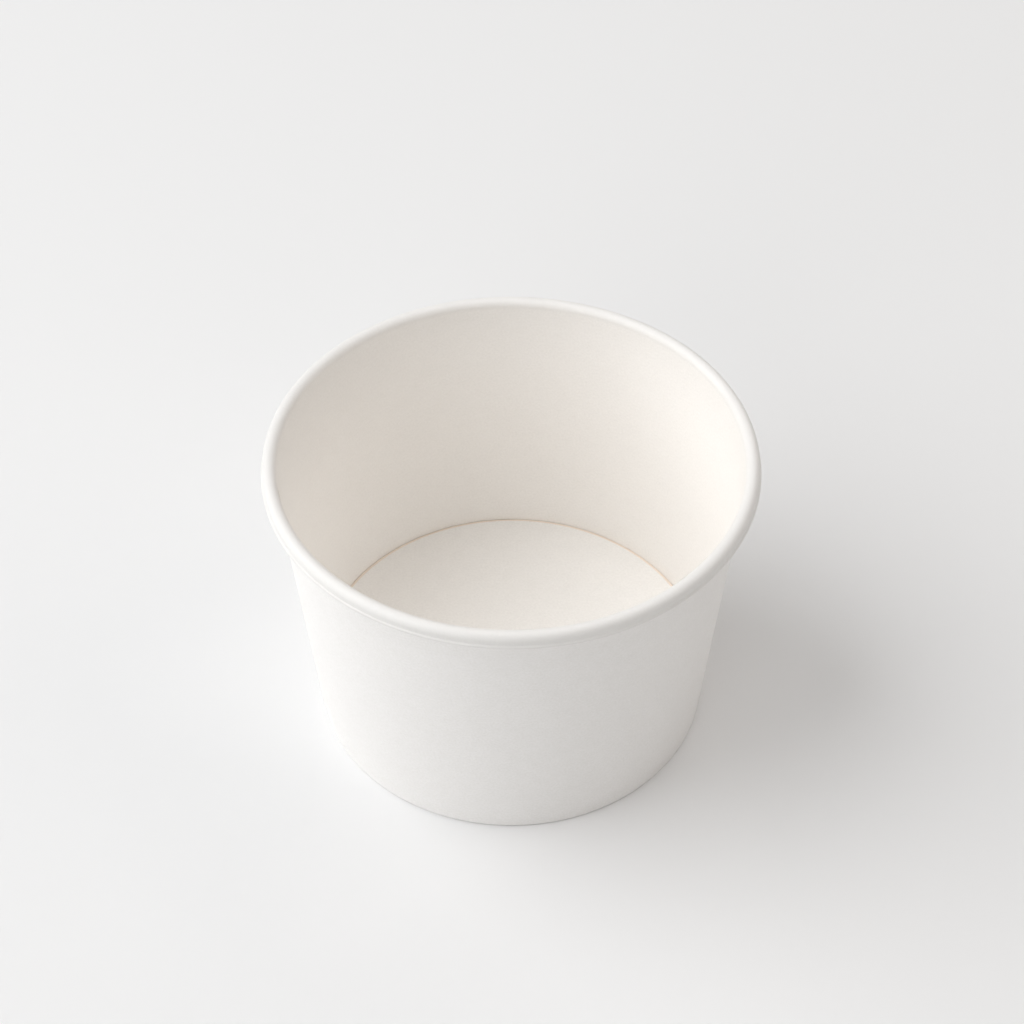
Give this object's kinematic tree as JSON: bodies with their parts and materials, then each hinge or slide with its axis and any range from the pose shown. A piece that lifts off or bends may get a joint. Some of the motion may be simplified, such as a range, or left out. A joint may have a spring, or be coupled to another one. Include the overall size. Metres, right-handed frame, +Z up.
{
  "type": "paper sundae cup",
  "caption": "Short wide tapered cup of white coated board, with a rolled rim, a lapped side seam and a raised bottom held in a folded foot.",
  "frame": {"origin": "on the table at the centre of the foot", "axes": "+Z up along the axis of the cup; the side seam lies near -X"},
  "size_m": [0.09, 0.09, 0.061],
  "materials": {
    "wall_board": "white coated board, satin",
    "bottom_board": "white coated board, satin"
  },
  "bodies": {
    "root": {"sidewall": "wall_board", "bottom_disc": "bottom_board"}
  },
  "joints": []
}
